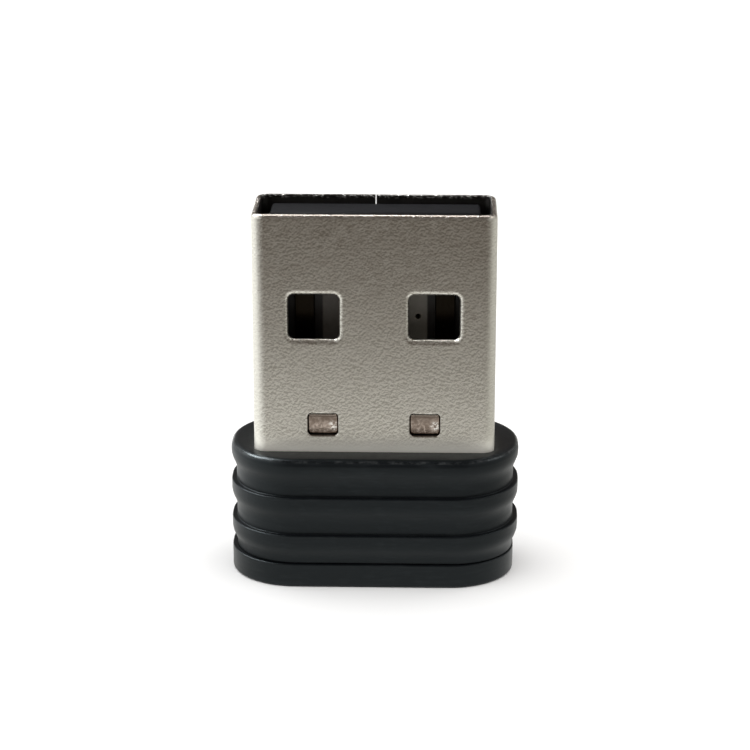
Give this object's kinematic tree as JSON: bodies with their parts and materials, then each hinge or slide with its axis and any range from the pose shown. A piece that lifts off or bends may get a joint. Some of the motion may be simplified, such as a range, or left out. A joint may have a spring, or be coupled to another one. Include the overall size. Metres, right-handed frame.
{
  "type": "usb wifi adapter",
  "caption": "Thumbnail-sized wireless network adapter: a bare metal type-A plug standing on a short black cap with horizontal grip ribs.",
  "frame": {"origin": "centre of the bottom of the whole object's bounding box, on the end cover's flat bottom face", "axes": "+Z out of the plug's mouth, +X across the plug's wide faces, -Y the wide face with the two small lances, +Y the seam side"},
  "size_m": [0.0144, 0.0074, 0.0189],
  "materials": {
    "plug_nickel": "satin nickel plate with a fine blasted grain",
    "cap_plastic": "satin black moulded plastic",
    "insert_plastic": "matt black moulded plastic",
    "board": "black solder mask on glass-fibre laminate",
    "contact_gold": "gold plate on bronze",
    "epoxy": "matt moulding compound",
    "can_metal": "plated metal lid",
    "ferrite": "grey ferrite",
    "antenna_ceramic": "white fired ceramic with metal ends",
    "capacitor_ceramic": "tan fired ceramic with tinned ends",
    "solder": "bright solder"
  },
  "bodies": {
    "root": {"plug_shell": "plug_nickel", "ribbed_housing": "cap_plastic", "end_cover": "cap_plastic", "contact_carrier": "insert_plastic", "plug_insert": "insert_plastic", "circuit_board": "board", "contact_vbus": "contact_gold", "contact_d_minus": "contact_gold", "contact_d_plus": "contact_gold", "contact_ground": "contact_gold", "wifi_chip": "epoxy", "crystal": "can_metal", "voltage_regulator": "epoxy", "power_inductor": "ferrite", "ferrite_bead": "ferrite", "chip_antenna": "antenna_ceramic", "capacitor_1": "capacitor_ceramic", "capacitor_2": "capacitor_ceramic", "capacitor_3": "capacitor_ceramic", "capacitor_4": "capacitor_ceramic", "capacitor_5": "capacitor_ceramic", "capacitor_6": "capacitor_ceramic", "capacitor_7": "capacitor_ceramic", "capacitor_8": "capacitor_ceramic", "resistor_1": "epoxy", "resistor_2": "epoxy", "resistor_3": "epoxy", "resistor_4": "epoxy", "shell_solder_left": "solder", "shell_solder_right": "solder"}
  },
  "joints": []
}
